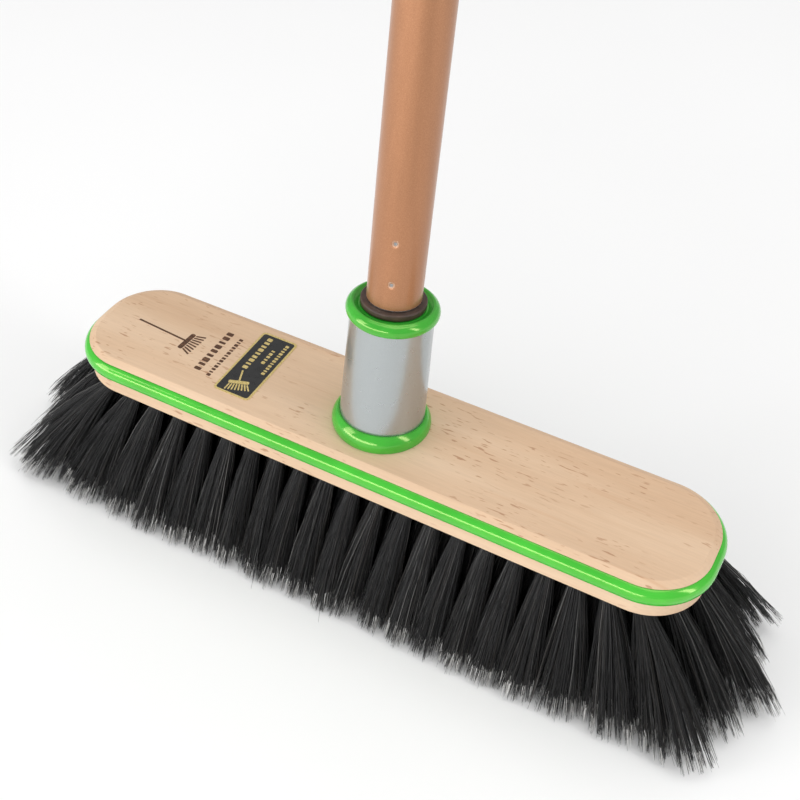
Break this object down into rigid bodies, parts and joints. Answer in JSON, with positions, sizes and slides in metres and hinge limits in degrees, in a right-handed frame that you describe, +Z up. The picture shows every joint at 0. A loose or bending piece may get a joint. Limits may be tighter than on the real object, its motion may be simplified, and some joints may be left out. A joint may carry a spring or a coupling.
{
  "type": "push broom",
  "caption": "Push broom with a bevelled beech block, green bumper strip, flared dark hair tufts and a leaning tube handle that screws into a sleeved socket.",
  "frame": {"origin": "on the floor under the middle of the block, where the tips of the hair stand", "axes": "+Z up, +X along the block, handle leaning towards +Y"},
  "size_m": [0.3552, 0.1929, 1.3787],
  "materials": {
    "beech": "satin",
    "green_strip": "gloss",
    "green_socket": "gloss",
    "silver_sleeve": "satin",
    "green_ring": "gloss",
    "screw_steel": "satin",
    "washer_steel": "satin",
    "sticker": "satin",
    "copper_paint": "satin",
    "brown_plastic": "matte",
    "bush_plastic": "matte",
    "pin_steel": "satin",
    "eye_plastic": "gloss",
    "hair": "satin",
    "anchor_steel": "satin"
  },
  "bodies": {
    "head": {"broom_block": "beech", "bumper_strip": "green_strip", "socket_core": "green_socket", "socket_sleeve": "silver_sleeve", "socket_top_ring": "green_ring", "socket_screws": "screw_steel", "screw_washers": "washer_steel", "sticker": "sticker", "tufts_front": "hair", "anchors_front": "anchor_steel", "tufts_inner_front": "hair", "anchors_inner_front": "anchor_steel", "tufts_middle": "hair", "anchors_middle": "anchor_steel", "tufts_inner_back": "hair", "anchors_inner_back": "anchor_steel", "tufts_back": "hair", "anchors_back": "anchor_steel", "tufts_load_bearing": "hair"},
    "pin": {"swivel_pin": "pin_steel"},
    "handle": {"handle_tube": "copper_paint", "threaded_plug": "brown_plastic", "hanger_bush": "bush_plastic"},
    "eye": {"hanging_eye": "eye_plastic"}
  },
  "joints": [
    {"name": "handle_lift", "type": "slide", "parent": "head", "child": "pin", "axis": [0, 0.1045, 0.9945], "range_m": [0, 0.025]},
    {"name": "handle_screw", "type": "hinge", "parent": "pin", "child": "handle", "pos_m": [0, 0.13186, 1.33259], "axis": [0, 0.1045, 0.9945], "range_deg": [0, 1801]},
    {"name": "eye_swivel", "type": "hinge", "parent": "pin", "child": "eye", "pos_m": [0, 0.1321, 1.33488], "axis": [0, 0.1045, 0.9945], "continuous": true}
  ],
  "couplings": [
    {"joint": "handle_screw", "follows": "handle_lift", "rad_per_m": 1256.6}
  ]
}
